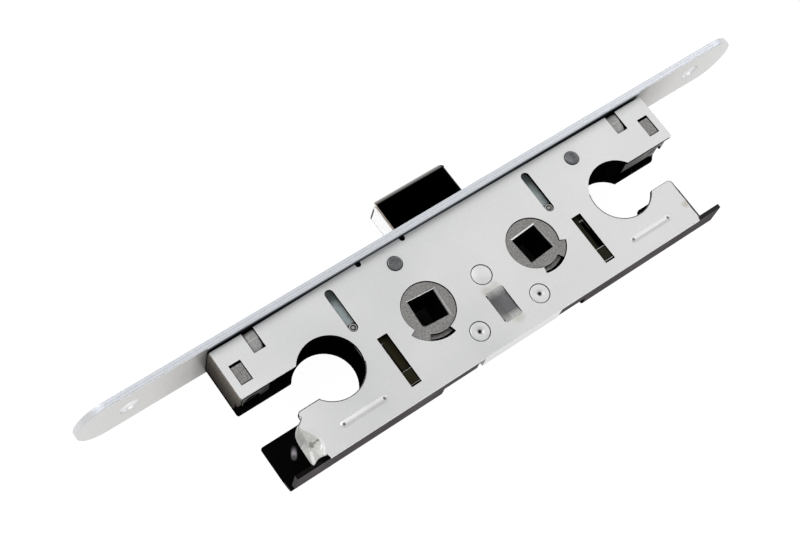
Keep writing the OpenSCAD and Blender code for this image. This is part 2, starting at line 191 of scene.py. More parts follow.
# painted highlight and shade on the pressed ribs: rib_light on the ridge and front flank, rib_shade on the rear flank,
# rib_pit for the shaded pits at the rib ends
M["rib_light"] = metal("rib_light", (0.70, 0.70, 0.695), (0.80, 0.80, 0.795), 0.2, 0.38, grain=1500, grain_amt=0.4, cloud=60, bump=0.004)
M["rib_shade"] = metal("rib_shade", (0.50, 0.50, 0.50), (0.60, 0.60, 0.60), 0.2, 0.45, grain=1500, grain_amt=0.4, cloud=60, bump=0.004)
M["rib_pit"] = metal("rib_pit", (0.12, 0.118, 0.115), (0.20, 0.197, 0.192), 0.2, 0.5, grain=1500, grain_amt=0.5, cloud=90, bump=0.004)
# painted shade and highlight: darker and lighter copies of the cover steel for the bent horn corner; tab_mid also
# darkens the crease on the notch bosses
M["tab_dark"] = metal("tab_dark", (0.14, 0.15, 0.115), (0.33, 0.33, 0.29), 0.25, 0.5, grain=1300, grain_amt=0.5, cloud=400, bump=0.02)
M["tab_mid"] = metal("tab_mid", (0.28, 0.285, 0.27), (0.48, 0.48, 0.455), 0.25, 0.45, grain=1300, grain_amt=0.5, cloud=400, bump=0.02)
M["tab_light"] = metal("tab_light", (0.66, 0.66, 0.645), (0.84, 0.83, 0.82), 0.25, 0.4, grain=1300, grain_amt=0.5, cloud=400, bump=0.01)
M["tab_steel"] = metal("tab_steel", (0.36, 0.36, 0.34), (0.60, 0.60, 0.575), 0.25, 0.45,
                       grain=1300, grain_amt=0.5, cloud=260, bump=0.02)
# painted shadow: the faceplate's rear face is dark behind the case and lightens from the case ends towards the
# faceplate ends
M["face_back"] = graded("face_back", 0, [(0.0, (0.17, 0.18, 0.205)), (0.40, (0.12, 0.13, 0.15)), (0.50, (0.02, 0.02, 0.022)), (0.654, (0.008, 0.008, 0.008)),
                                         (0.660, (0.20, 0.195, 0.19)), (0.70, (0.44, 0.43, 0.42)), (0.80, (0.58, 0.572, 0.562)), (1.0, (0.63, 0.625, 0.62))],
                        0.25, 0.42, lo=0, hi=111.4, mirror_axis=True, grain_amt=0.12)
# painted highlight and reflection: light and bluish bands across the faceplate's top edge
M["face_top"] = graded("face_top", 1, [(0.0, (0.46, 0.50, 0.55)), (0.16, (0.60, 0.63, 0.67)), (0.34, (0.70, 0.72, 0.75)), (0.52, (0.55, 0.58, 0.63)),
                                       (0.70, (0.70, 0.72, 0.75)), (0.86, (0.58, 0.61, 0.66)), (1.0, (0.66, 0.685, 0.72))],
                       0.30, 0.38, lo=0, hi=2, grain_amt=0.14)


def seam(mat, half):
    """Painted shadow behind the case: the rear face runs from light at its top edge to black where it meets the cover.
    """
    nt = mat.node_tree
    b = nt.nodes["Principled BSDF"]
    src = b.inputs["Base Color"].links[0].from_socket
    tc = add(nt, "ShaderNodeTexCoord")
    sep = add(nt, "ShaderNodeSeparateXYZ")
    link(nt, tc, "Object", sep, 0)
    mr = add(nt, "ShaderNodeMapRange")
    mr.inputs["From Min"].default_value = 6.7 * MM
    mr.inputs["From Max"].default_value = 9.0 * MM
    link(nt, sep, 2, mr, 0)
    cr = ramp(nt, [(0.0, (0.006, 0.006, 0.007)), (0.26, (0.02, 0.021, 0.024)), (0.48, (0.22, 0.24, 0.275)), (0.75, (0.46, 0.49, 0.54)), (1.0, (0.62, 0.65, 0.69))])
    link(nt, mr, 0, cr, 0)
    ab = add(nt, "ShaderNodeMath", operation="ABSOLUTE")
    nt.links.new(sep.outputs[0], ab.inputs[0])
    st = add(nt, "ShaderNodeMath", operation="LESS_THAN")
    st.inputs[1].default_value = half * MM
    nt.links.new(ab.outputs[0], st.inputs[0])
    mx = add(nt, "ShaderNodeMix", data_type="RGBA", blend_type="MIX")
    nt.links.new(st.outputs[0], mx.inputs[0])
    nt.links.new(src, mx.inputs[6])
    link(nt, cr, 0, mx, 7)
    nt.links.new(mx.outputs[2], b.inputs["Base Color"])


seam(M["face_back"], 73.3)
M["faceplate_steel"] = metal("faceplate_steel", (0.60, 0.605, 0.615), (0.70, 0.70, 0.705), 0.35, 0.36,
                             grain=900, grain_amt=0.5, cloud=30, bump=0.004, streak=(0.12, 1, 1))
M["black_steel"] = metal("black_steel", (0.003, 0.003, 0.003), (0.007, 0.0065, 0.006), 0.0, 0.16,
                         grain=700, grain_amt=0.3, cloud=60, bump=0.002, rough_var=0.04, spec=0.18)
# painted light: a dark grey, non-specular copy of the black shell steel for its lit outer walls
M["black_wall"] = metal("black_wall", (0.040, 0.0365, 0.0375), (0.105, 0.096, 0.099), 0.0, 0.5,
                        grain=1800, grain_amt=0.5, cloud=80, bump=0.008, rough_var=0.06, spec=0.0)
# painted shade: near-black matte for undersides, insides, gaps and hole walls that lie in shade
M["deep"] = metal("deep", (0.0015, 0.0015, 0.0015), (0.0035, 0.0033, 0.003), 0.0, 0.6,
                  grain=900, grain_amt=0.4, cloud=90, bump=0.002, spec=0.0)
# painted shade: the end blocks' slot-side walls, grey at the outer end and darker inwards, reaching near black on the
# left
M["slot_wall_l"] = graded("slot_wall_l", 0, [(0.0, (0.17, 0.166, 0.162)), (0.35, (0.09, 0.088, 0.086)), (0.6, (0.03, 0.029, 0.029)), (0.74, (0.006, 0.006, 0.006)), (1.0, (0.003, 0.003, 0.003))],
                          0.0, 0.5, lo=-73.2, hi=-55.0, grain_amt=0.45, spec=0.0)
M["slot_wall_r"] = graded("slot_wall_r", 0, [(0.0, (0.15, 0.146, 0.142)), (1.0, (0.30, 0.295, 0.29))],
                          0.0, 0.5, lo=57.0, hi=73.2, grain_amt=0.35, spec=0.0)
M["zinc"] = metal("zinc", (0.055, 0.053, 0.050), (0.34, 0.333, 0.322), 0.15, 0.5,
                  grain=2300, grain_amt=0.88, cloud=160, bump=0.03)
# painted light: a lighter copy of the zinc for lit facets, chamfers, boss tops and pin heads
M["zinc_light"] = metal("zinc_light", (0.17, 0.167, 0.165), (0.40, 0.395, 0.39), 0.2, 0.46,
                        grain=2600, grain_amt=0.8, cloud=160, bump=0.02)
# blue-grey zinc, made lighter than the zinc itself as painted light so that the guide's top reads lit at the bottom of
# the narrow slots
M["guide_zinc"] = metal("guide_zinc", (0.42, 0.50, 0.51), (0.68, 0.76, 0.77), 0.2, 0.4,
                        grain=1500, grain_amt=0.5, cloud=180, bump=0.01)
M["rivet_steel"] = metal("rivet_steel", (0.045, 0.048, 0.052), (0.20, 0.208, 0.215), 0.5, 0.34,
                         grain=1400, grain_amt=0.6, cloud=500, bump=0.02)
M["screw_steel"] = metal("screw_steel", (0.35, 0.37, 0.38), (0.52, 0.54, 0.55), 0.8, 0.3,
                         grain=1200, grain_amt=0.5, cloud=200, bump=0.004)
# painted light and shade on the pressed tongue in the window: lighter on its end ramps, dark in the middle; spring_dark
# is a darker copy for its shaded left side
M["spring_steel"] = graded("spring_steel", 1, [(0.0, (0.50, 0.50, 0.485)), (0.13, (0.33, 0.33, 0.32)), (0.22, (0.145, 0.143, 0.148)),
                                               (0.78, (0.155, 0.153, 0.158)), (0.88, (0.30, 0.305, 0.295)), (1.0, (0.46, 0.47, 0.46))],
                           0.3, 0.42, lo=-34.9, hi=-26.2, grain_amt=0.25)
M["spring_dark"] = graded("spring_dark", 1, [(0.0, (0.40, 0.40, 0.385)), (0.14, (0.20, 0.20, 0.19)), (0.22, (0.125, 0.122, 0.122)),
                                             (0.78, (0.135, 0.133, 0.136)), (0.88, (0.22, 0.225, 0.215)), (1.0, (0.40, 0.41, 0.40))],
                          0.3, 0.42, lo=-34.9, hi=-26.2, grain_amt=0.25)
M["claw_steel"] = metal("claw_steel", (0.42, 0.42, 0.415), (0.56, 0.555, 0.55), 0.9, 0.22,
                        grain=1300, grain_amt=0.4, cloud=120, bump=0.004, streak=(1, 0.3, 1))
M["slide_steel"] = metal("slide_steel", (0.0022, 0.0021, 0.0018), (0.021, 0.0185, 0.0075), 0.0, 0.35,
                         grain=500, grain_amt=0.35, cloud=150, bump=0.004, streak=(1, 0.18, 1), spec=0.12)
# painted highlight: white-lit edges on the slides and the front chamfer of the hub squares
M["bright_edge"] = metal("bright_edge", (0.72, 0.72, 0.71), (0.86, 0.86, 0.85), 0.3, 0.35,
                         grain=1500, grain_amt=0.4, cloud=200, bump=0.004)
M["bolt_nickel"] = metal("bolt_nickel", (0.27, 0.262, 0.252), (0.34, 0.33, 0.318), 1.0, 0.09,
                         grain=900, grain_amt=0.4, cloud=60, bump=0.001, rough_var=0.03)
# painted reflection: bolt_top is the mirror top darkened to near black, bolt_strip a brownish highlight for edge
# facets, bolt_side white for side faces
M["bolt_top"] = metal("bolt_top", (0.010, 0.0095, 0.0095), (0.02, 0.019, 0.019), 1.0, 0.07,
                      grain=900, grain_amt=0.4, cloud=60, bump=0.001, rough_var=0.02)
M["bolt_strip"] = metal("bolt_strip", (0.34, 0.30, 0.26), (0.58, 0.52, 0.46), 0.4, 0.25,
                        grain=900, grain_amt=0.4, cloud=200, bump=0.002)
M["bolt_side"] = metal("bolt_side", (0.90, 0.90, 0.90), (0.96, 0.96, 0.96), 0.6, 0.25,
                       grain=900, grain_amt=0.4, cloud=60, bump=0.001, rough_var=0.03)


def tint_patches(mat, spots, blend="MULTIPLY"):
    """Soft round tinted patches on a material, used for painted shade and a painted reflection: (plan x, d, z, radius
    in mm, colour).
    """
    nt = mat.node_tree
    b = nt.nodes["Principled BSDF"]
    tc = add(nt, "ShaderNodeTexCoord")
    for x, d, z, r, col in spots:
        src = b.inputs["Base Color"].links[0].from_socket
        vd = add(nt, "ShaderNodeVectorMath", operation="DISTANCE")
        link(nt, tc, "Object", vd, 0)
        vd.inputs[1].default_value = P(x, d, z)
        mr = add(nt, "ShaderNodeMapRange", interpolation_type="SMOOTHSTEP")
        mr.inputs["From Min"].default_value = 0.25 * r * MM
        mr.inputs["From Max"].default_value = r * MM
        mr.inputs["To Min"].default_value = 1.0
        mr.inputs["To Max"].default_value = 0.0
        nt.links.new(vd.outputs["Value"], mr.inputs[0])
        mx = add(nt, "ShaderNodeMix", data_type="RGBA", blend_type=blend)
        nt.links.new(mr.outputs[0], mx.inputs[0])
        nt.links.new(src, mx.inputs[6])
        mx.inputs[7].default_value = (*col, 1)
        nt.links.new(mx.outputs[2], b.inputs["Base Color"])


# painted shade: soft darker patches at both ends of the window, where the pressed tongue dips, and one darker brownish
# patch by the right horn
tint_patches(M["cover_steel"], [(-1.7, 25.5, 6.75, 2.3, (0.80, 0.78, 0.73)), (1.0, 25.3, 6.75, 2.0, (0.86, 0.85, 0.82)),
                          (1.2, 35.5, 6.75, 2.6, (0.86, 0.85, 0.79)), (62.4, 34.2, 6.75, 1.5, (0.80, 0.74, 0.70))])
# painted reflection: a soft light streak on the near-black inside of the far plate, below the bent corner of the left
# horn
tint_patches(M["deep"], [(-66.1 - 0.27 * k, 30.5 + 0.42 * k, -5.55, 0.95, (c, c * 0.94, c * 1.02)) for k, c in enumerate((0.04, 0.12, 0.26, 0.40, 0.26, 0.10))], "MIX")


# -------------------------------------------------------------- mesh helpers
def obj_from_bm(name, bm):
    me = bpy.data.meshes.new(name)
    bm.to_mesh(me)
    bm.free()
    o = bpy.data.objects.new(name, me)
    SC.collection.objects.link(o)
    return o


def apply_mods(o):
    dg = bpy.context.evaluated_depsgraph_get()
    me = bpy.data.meshes.new_from_object(o.evaluated_get(dg), preserve_all_data_layers=True, depsgraph=dg)
    old = o.data
    o.modifiers.clear()
    o.data = me
    bpy.data.meshes.remove(old)


def finish_mesh(o, sharp=38):
    """Smooth shading, sharp only where the angle is large, flat faces kept flat."""
    me = o.data
    for p in me.polygons:
        p.use_smooth = True
    me.set_sharp_from_angle(angle=math.radians(sharp))
    w = o.modifiers.new("wn", "WEIGHTED_NORMAL")
    w.keep_sharp = True
    w.weight = 100
    apply_mods(o)


def plan(co):
    """Frame metres to plan millimetres."""
    return Vector((co.x / MM, -co.y / MM, co.z / MM))


def soften(node, width=0.18, seg=2, rule=None, limit=32, name=None, pre=None, edge_mat=False, sharp=38, cut=None, clamp=True):
    """A copy of a CAD node with its edges rounded. rule(edge centre in plan mm, edge) may give another width in mm.
    pre edits the mesh first, cut is a prism that is taken off, edge_mat gives the rounded edges material slot 1."""
    src = frame["nodes"][node]
    bm = bmesh.new()
    bm.from_mesh(src.data)
    bmesh.ops.remove_doubles(bm, verts=bm.verts, dist=1e-7)
    if cut is not None:
        t = obj_from_bm(node + "_tmp", bm)
        bo = t.modifiers.new("cut", "BOOLEAN")
        bo.operation = "DIFFERENCE"
        bo.solver = "EXACT"
        bo.object = cut
        apply_mods(t)
        bm = bmesh.new()
        bm.from_mesh(t.data)
        bpy.data.objects.remove(t)
        bmesh.ops.remove_doubles(bm, verts=bm.verts, dist=1e-7)
    bmesh.ops.dissolve_limit(bm, angle_limit=math.radians(0.6), verts=bm.verts, edges=bm.edges, use_dissolve_boundaries=False)
    if pre:
        pre(bm)
    bw = bm.edges.layers.float.new("bevel_weight_edge")
    wmax = 2.0
    for e in bm.edges:
        if len(e.link_faces) != 2:
            continue
        a = e.calc_face_angle(0.0)
        if a > math.radians(limit):
            c = plan((e.verts[0].co + e.verts[1].co) / 2)
            w = width
            if rule:
                r = rule(c, e)
                if r is not None:
                    w = r
            e[bw] = w / wmax
    o = obj_from_bm(name or node + "_form", bm)
    b = o.modifiers.new("bevel", "BEVEL")
    b.width = wmax * MM
    b.segments = seg
    b.limit_method = "WEIGHT"
    b.offset_type = "OFFSET"
    b.use_clamp_overlap = clamp
    b.miter_outer = "MITER_SHARP"
    b.harden_normals = False
    if edge_mat:
        o.data.materials.append(M["cover_steel"])
        o.data.materials.append(M["cover_edge"])
        b.material = 1
    apply_mods(o)
    finish_mesh(o, sharp)
    return o


def lathe(name, x, d, prof, seg=64):
    """Turned piece on a Z axis at (x, d): prof is a list of (radius, z, material index of the band that follows)."""
    bm = bmesh.new()
    rings = []
    for r, z, k in prof:
        if r < 1e-6:
            rings.append([bm.verts.new(P(x, d, z))])
        else:
            rings.append([bm.verts.new(P(x + r * math.cos(2 * math.pi * i / seg), d + r * math.sin(2 * math.pi * i / seg), z)) for i in range(seg)])
    for n in range(len(rings) - 1):
        a, b, k = rings[n], rings[n + 1], prof[n][2]
        for i in range(seg):
            j = (i + 1) % seg
            if len(a) == 1 and len(b) > 1:
                f = bm.faces.new((a[0], b[i], b[j]))
            elif len(b) == 1 and len(a) > 1:
                f = bm.faces.new((a[i], b[0], a[j]))
            else:
                f = bm.faces.new((a[i], b[i], b[j], a[j]))
            f.material_index = k
    bmesh.ops.recalc_face_normals(bm, faces=bm.faces)
    o = obj_from_bm(name, bm)
    for p in o.data.polygons:
        p.use_smooth = True
    o.data.set_sharp_from_angle(angle=math.radians(40))
    return o


def join(objs):
    """Joins meshes that all sit at the origin."""
    bm = bmesh.new()
    for o in objs:
        bm.from_mesh(o.data)
    out = obj_from_bm(objs[0].name + "_all", bm)
    for o in objs:
        bpy.data.objects.remove(o)
    return out


def sheet(name, rows, thick, mats=None):
    """Closed sheet over a grid of plan points, thick mm downwards."""
    bm = bmesh.new()
    top = [[bm.verts.new(P(*p)) for p in r] for r in rows]
    low = [[bm.verts.new(P(p[0], p[1], p[2] - thick)) for p in r] for r in rows]
    nr, nc = len(rows), len(rows[0])
    for i in range(nr - 1):
        for j in range(nc - 1):
            f = bm.faces.new((top[i][j], top[i + 1][j], top[i + 1][j + 1], top[i][j + 1]))
            if mats:
                f.material_index = mats(i, j)
            bm.faces.new((low[i][j], low[i][j + 1], low[i + 1][j + 1], low[i + 1][j]))
    rim = [(i, 0) for i in range(nr)] + [(nr - 1, j) for j in range(1, nc)] + [(i, nc - 1) for i in range(nr - 2, -1, -1)] + [(0, j) for j in range(nc - 2, 0, -1)]
    for a, b in zip(rim, rim[1:] + rim[:1]):
        bm.faces.new((top[a[0]][a[1]], top[b[0]][b[1]], low[b[0]][b[1]], low[a[0]][a[1]]))
    bmesh.ops.recalc_face_normals(bm, faces=bm.faces)
    return obj_from_bm(name, bm)


def repaint(o, mats, pick):
    """Sets the material slots and picks one per face: pick(centre in plan mm, normal in plan axes, current index)."""
    new = []
    for p in o.data.polygons:
        n = Vector((p.normal.x, -p.normal.y, p.normal.z))
        new.append(pick(plan(p.center), n, p.material_index))
    paint(o, *mats)
    for p, k in zip(o.data.polygons, new):
        p.material_index = k
    return o


BODY_OF = {}
for body, members in frame["record"]["behaviour"]["bodies"].items():
    for n in members:
        BODY_OF[n] = body
SLOT_OF = {s["node"]: s["material_slot"] for s in frame["record"]["subparts"]}


def paint(o, *mats):
    o.data.materials.clear()
    for m in mats:
        o.data.materials.append(m)


def stand_for(o, node, mat=None):
    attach(o, BODY_OF[node])
    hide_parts(node)
    if mat or not o.data.materials:
        paint(o, mat or M[SLOT_OF[node]])
    return o


# -------------------------------------------------------------- cover plate
CYL_X, HUB_X, BACK = 49.2, 17.8, 20.6
prism = bmesh.new()
ring = [(-70, 26.9), (-63.65, 26.9), (-63.5, 28.4), (-61.6, 34.4), (-61.9, 36.6), (-63.5, 38.5), (-64.1, 39.0), (-70, 39.0)]
lo_v = [prism.verts.new(P(x, d, -2)) for x, d in ring]
hi_v = [prism.verts.new(P(x, d, 9)) for x, d in ring]
prism.faces.new(lo_v)
prism.faces.new(hi_v)
for a in range(len(ring)):
    b = (a + 1) % len(ring)
    prism.faces.new((lo_v[a], lo_v[b], hi_v[b], hi_v[a]))
bmesh.ops.recalc_face_normals(prism, faces=prism.faces)
prism = obj_from_bm("prism", prism)


def cover_pre(bm):
    for v in bm.verts:
        c = plan(v.co)
        if c.z > 5.6 and c.y < 0.05:            # dark seam behind the faceplate, widest past the notches
            v.co = P(c.x, 0.6 if abs(c.x) > 57 else 0.15, c.z)
        if c.x > 71.9 and c.y > 13.0 and c.z < -4.5:    # rear edge of the right end wall slants forwards
            v.co = P(c.x, 10.5, c.z)
        if c.z > 7.0:                           # pressed rib: low and soft
            xe = math.copysign(min(max(abs(c.x), 42.6), 55.0), c.x)
            v.co = P(xe + (c.x - xe) * 0.2, 34.8 + (c.y - 34.8) * 0.2, 7.09)


def cover_rule(c, e):
    if c.z > 6.8:
        return 0.0
    if c.z > 6.6 and abs(c.x) > 72.9:
        return 0.5
    if c.z > 6.6 and c.y > 40 and abs(c.x) < 14:
        return 0.35
    if c.z > 6.6 and c.x < -61 and 27.2 < c.y < 38.9:
        return 0.03
    if c.z > 6.6:
        return 0.16
    return 0.08


# painted shade and highlight on the cover: underside and cut walls near black, top outline bevels dark, end walls and
# their edges in the shaded gradient, rib flanks lit and shaded
def cover_pick(c, n, i):
    if n.z < -0.5:
        return 3
    if c.z > 6.8:
        return 4 if (n.z > 0.95 or n.y < -0.05) else (5 if n.y > 0.05 else 0)
    if i == 1:
        if abs(c.x) > 72.2 and c.y < 14.2:
            return 2
        if c.y > 39.6 and abs(c.x) < 13.6:
            return 0
        return 1 if c.z > 6.2 else 3
    if abs(n.z) < 0.5:
        if abs(c.x) > 72.0 and c.y < 14.2:
            return 2
        if c.y > 39.6 and abs(c.x) < 13.6:
            return 0
        if c.x < -72 and c.y > 14:
            return 2
        return 3
    return 0


cover = soften("cover_plate", 0.16, seg=3, rule=cover_rule, pre=cover_pre, edge_mat=True, cut=prism)
bpy.data.objects.remove(prism)
repaint(cover, (M["cover_steel"], M["cover_edge"], M["cover_wall"], M["deep"], M["rib_light"], M["rib_shade"]), cover_pick)
stand_for(cover, "cover_plate")

# painted shade: thin dark strips laid on the cover along the rims of the cut-outs and horns, seen as thin dark lines
def ribbon(name, pts, width, z=6.77):
    """Flat strip of the given width to the left of a line of plan points."""
    bm = bmesh.new()
    a, b = [], []
    for k, q in enumerate(pts):
        q0, q1 = Vector(pts[max(0, k - 1)]), Vector(pts[min(len(pts) - 1, k + 1)])
        t = (q1 - q0).normalized()
        n = Vector((-t.y, t.x)) * (width[k] if isinstance(width, list) else width)
        a.append(bm.verts.new(P(q[0], q[1], z)))
        b.append(bm.verts.new(P(q[0] + n.x, q[1] + n.y, z)))
    for k in range(len(pts) - 1):
        bm.faces.new((a[k], a[k + 1], b[k + 1], b[k]))
    for f in bm.faces:
        if f.normal.z < 0:
            f.normal_flip()
    bmesh.ops.recalc_face_normals(bm, faces=bm.faces)
    low = bmesh.ops.extrude_face_region(bm, geom=bm.faces[:])
    for v in low["geom"]:
        if isinstance(v, bmesh.types.BMVert):
            v.co.z -= 0.1 * MM
    bmesh.ops.recalc_face_normals(bm, faces=bm.faces)
    return obj_from_bm(name, bm)


def arc(x, d, r, a0, a1, n):
    return [(x + r * math.cos(math.radians(a0 + (a1 - a0) * k / n)), d + r * math.sin(math.radians(a0 + (a1 - a0) * k / n))) for k in range(n + 1)]


lines = [ribbon("rim_r", arc(CYL_X, BACK, 9.02, 200, 36, 40), 0.22),
         ribbon("rim_l", arc(-CYL_X, BACK, 9.02, 144, 20, 30), 0.2),
         ribbon("horn_l", [(-56.4, 25.8), (-62.3, 25.8)] + arc(-62.3, 27.1, 1.3, 270, 185, 8), -0.22),
         ribbon("horn_l2", [(-63.55, 26.9), (-63.2, 27.45), (-63.9, 28.1), (-65.2, 28.8)], -0.16),
         ribbon("horn_r", [(62.4, 25.84)] + arc(62.3, 27.1, 1.3, 270, 360, 8)[1:] + [(63.6, 30), (63.58, 33), (63.6, 36), (63.6, 39.3), (62.9, 40.05)],
                [0.10, 0.10, 0.12, 0.12, 0.15, 0.18, 0.2, 0.2, 0.24, 0.36, 0.30, 0.48, 0.40, 0.34]),
         ribbon("tip_r", [(56.4, 25.82), (62.4, 25.84)], 0.10)]
lines = join(lines)
stand_for(lines, "cover_plate", M["cover_line"])

# bent corner of the left rear horn
inner = [(-63.1, 27.2), (-62.6, 29.4), (-61.7, 31.8), (-60.9, 34.4), (-61.1, 36.7), (-62.0, 38.1)]
outer = [(-63.9, 28.0, 6.72), (-66.0, 29.1, 6.35), (-67.2, 30.5, 5.95), (-67.4, 32.8, 5.4), (-67.3, 35.6, 4.75), (-67.3, 38.4, 4.25)]
rows = []
for k, (a, b) in enumerate(zip(inner, outer)):
    row = []
    for t in (0.0, 0.12, 0.3, 0.5, 0.75, 1.0):
        dip = 0.42 * math.exp(-((t - 0.5) / 0.2) ** 2) if k in (3, 4) else 0.0
        if k == 4:
            dip *= 0.6
        z = 6.765 + (b[2] - 6.765) * max(0.0, (t - 0.1) / 0.9) ** 1.35 - dip
        row.append((a[0] + (b[0] - a[0]) * t, a[1] + (b[1] - a[1]) * t, z))
    rows.append(row)
rows.append([(-62.9, 39.0, 6.765), (-63.5, 38.95, 6.75), (-64.4, 38.6, 6.5), (-65.4, 38.35, 5.7), (-66.1, 38.7, 4.95), (-66.9, 39.1, 4.2)])
tab = sheet("horn_corner", rows, 0.85)
sub = tab.modifiers.new("sub", "SUBSURF")
sub.levels = 3
sub.render_levels = 3
apply_mods(tab)
for p in tab.data.polygons:
    p.use_smooth = True


def seg_dist(c, a, b):
    a, b, q = Vector(a), Vector(b), Vector((c.x, c.y))
    t = max(0.0, min(1.0, (q - a).dot(b - a) / (b - a).length_squared))
    return (q - a - (b - a) * t).length


# painted shade and highlight on the bent corner: flat part in cover steel, turned-down part in shaded steel, creases in
# dark and mid shade, one highlight line
def tab_pick(c, n, i):
    if c.z < 3.4 or n.z < 0:
        return 1
    if c.z > 6.5:
        return 0
    if seg_dist(c, (-61.6, 34.9), (-63.6, 36.9)) < 0.22:
        return 3
    if seg_dist(c, (-64.9, 34.6), (-62.4, 34.5)) < 0.27 or seg_dist(c, (-64.9, 34.3), (-64.9, 34.8)) < 0.5:
        return 2
    if seg_dist(c, (-65.4, 35.0), (-66.9, 31.0)) < 0.22:
        return 4
    if c.y < 33.5 and c.x < -65.2:
        return 4
    if seg_dist(c, (-66.0, 36.2), (-66.6, 38.4)) < 0.4:
        return 3
    return 1


repaint(tab, (M["cover_steel"], M["tab_steel"], M["tab_dark"], M["tab_light"], M["tab_mid"]), tab_pick)
stand_for(tab, "cover_plate")

# small pits at the ends of the ribs, given as raised dark discs: painted shade
pit = join([lathe("rib_pit", sx * x, 34.8, [(0, 7.12, 1), (0.3, 7.12, 1), (0.4, 7.08, 1), (0.42, 6.77, 1)], 24)
            for sx in (-1, 1) for x in (55.1, 42.5)])
repaint(pit, (M["cover_steel"], M["rib_pit"]), lambda c, n, i: i)
stand_for(pit, "cover_plate")


# ---------------------------------------------------------------- back shell
def shell_rule(c, e):
    return 0.1


# painted light and shade on the shell: near black inside and in the flanges, lit outer walls in the dark grey copy
def shell_pick(c, n, i):
    if abs(c.x) > 56 and 13.9 < c.y < 16:
        return 2
    if c.y > 38.0 and n.y > 0.25:
        if abs(c.x) > 24.4:
            return 1
        return 0
    if c.y > 38.0 and abs(n.x) > 0.6 and abs(c.x) > 70:
        return 1
    if n.z < -0.5:
        return 0
    return 2 if (abs(n.z) < 0.5 or abs(c.x) < 62) else 0


shell = soften("back_shell", 0.1, seg=2, rule=shell_rule)
repaint(shell, (M["black_steel"], M["black_wall"], M["deep"]), shell_pick)
stand_for(shell, "back_shell")

# ----------------------------------------------------------------- faceplate


def plate_rule(c, e):
    v = (e.verts[1].co - e.verts[0].co)
    if abs(abs(c.z) - 9) < 0.05 or abs(c.x) > 102.3:
        return 0.38
    return 0.1


plate = soften("faceplate", 0.1, seg=3, rule=plate_rule)
repaint(plate, (M["faceplate_steel"], M["face_back"], M["face_top"]),
        lambda c, n, i: 1 if n.y > 0.9 else (2 if n.z > 0.9 and c.z > 8 else 0))
stand_for(plate, "faceplate")

# ---------------------------------------------------------------- end blocks
for side, nm in ((-1, "end_block_left"), (1, "end_block_right")):
    # painted light and shade on the end blocks: boss faces in the lit zinc, slot-side walls in the shaded gradients,
    # the rest near black
    def blk_pick(c, n, i):
        if 59.6 < abs(c.x) < 63.6 and c.z > 4.05 and c.y < 6.6 and (n.z > 0.12 or abs(n.x) > 0.3):
            return 1
        if c.z > 6.2 and 67 < abs(c.x) < 71.5:
            return 0
        if c.y > 8 and n.y > 0.25 and abs(n.z) < 0.6:
            return 3
        if c.x > 71.2 and c.y > 13.5 and n.x < -0.5:
            return 3
        return 2
    blk = soften(nm, 0.14, seg=2)
    repaint(blk, (M["zinc"], M["zinc_light"], M["deep"], M["slot_wall_l" if side < 0 else "slot_wall_r"]), blk_pick)
    stand_for(blk, nm)
    # boss that fills the notch, its end rounded off to the right
    x0, ends = (-63.45, (-59.97, -59.97, -60.0, -60.05, -60.15, -60.4, -60.9)) if side < 0 else (59.98, (63.44, 63.43, 63.4, 63.35, 63.25, 63.0, 62.5))
    rows = []
    for d, x1, lift in zip((0.9, 1.5, 3.2, 3.55, 5.0, 6.1, 6.65), ends, (-0.35, -0.05, 0.0, -0.12, -0.15, -0.2, -0.35)):
        rows.append([(x0 + (x1 - x0) * t, d, z + lift) for t, z in ((0, 5.75), (0.05, 6.25), (0.2, 6.46), (0.55, 6.56), (0.85, 6.52), (0.97, 6.42), (1, 6.15))])
    boss = sheet(nm + "_boss", rows, 1.6, mats=lambda i, j: 1 if i == 2 else 0)
    for p in boss.data.polygons:
        p.use_smooth = True
    boss.data.set_sharp_from_angle(angle=math.radians(50))
    # painted light and shade: boss top in the lit zinc, its crease in mid shade
    repaint(boss, (M["zinc_light"], M["tab_mid"]), lambda c, n, i: i)
    stand_for(boss, nm)

# --------------------------------------------------------------------- guide
guide = soften("bolt_guide", 0.1)
# painted shade: all but the guide's top faces in near-black
repaint(guide, (M["guide_zinc"], M["deep"]), lambda c, n, i: 0 if (n.z > 0.5 and 2.0 < c.z < 3.5) else 1)
stand_for(guide, "bolt_guide")

# --------------------------------------------------- rivets, posts, stud, pins
# painted shade: the rims, gap rings, dimples and grooves of the rivets, posts, stud and pins in near-black and darker
# bands
riv = join([lathe("rivet", x, d, [(0, 7.02, 0), (0.7, 7.03, 0), (1.2, 7.08, 0), (1.6, 7.13, 0), (1.85, 7.10, 0), (2.0, 7.03, 1), (2.19, 6.78, 1),
                                  (1.7, 6.77, 1), (1.69, -6.76, 0), (2.59, -6.77, 0), (2.55, -7.05, 0), (2.3, -7.24, 0), (0, -7.24, 0)])
            for x, d in ((-18, 5.6), (43.4, 5.8))])
for p in riv.data.polygons:
    p.use_smooth = True
riv.data.set_sharp_from_angle(angle=math.radians(50))
repaint(riv, (M["rivet_steel"], M["deep"]), lambda c, n, i: i)
stand_for(riv, "front_rivets")

posts = join([lathe("post", x, 33.4, [(0, 6.32, 1), (0.28, 6.33, 2), (0.62, 6.48, 3), (1.1, 6.74, 0), (1.5, 6.79, 0), (2.4, 6.78, 0), (2.62, 6.72, 0), (2.69, 6.6, 1),
                                      (2.7, 5.9, 1), (2.85, 5.9, 1), (2.85, 5.78, 1), (2.49, 5.7, 1), (2.49, -6.69, 0), (0, -6.69, 0)])
              for x in (-10.2, 10.2)])
for p in posts.data.polygons:
    p.use_smooth = True
posts.data.set_sharp_from_angle(angle=math.radians(45))
repaint(posts, (M["cover_steel"], M["deep"], M["cover_edge"], M["rib_shade"]), lambda c, n, i: i)
stand_for(posts, "rear_posts")

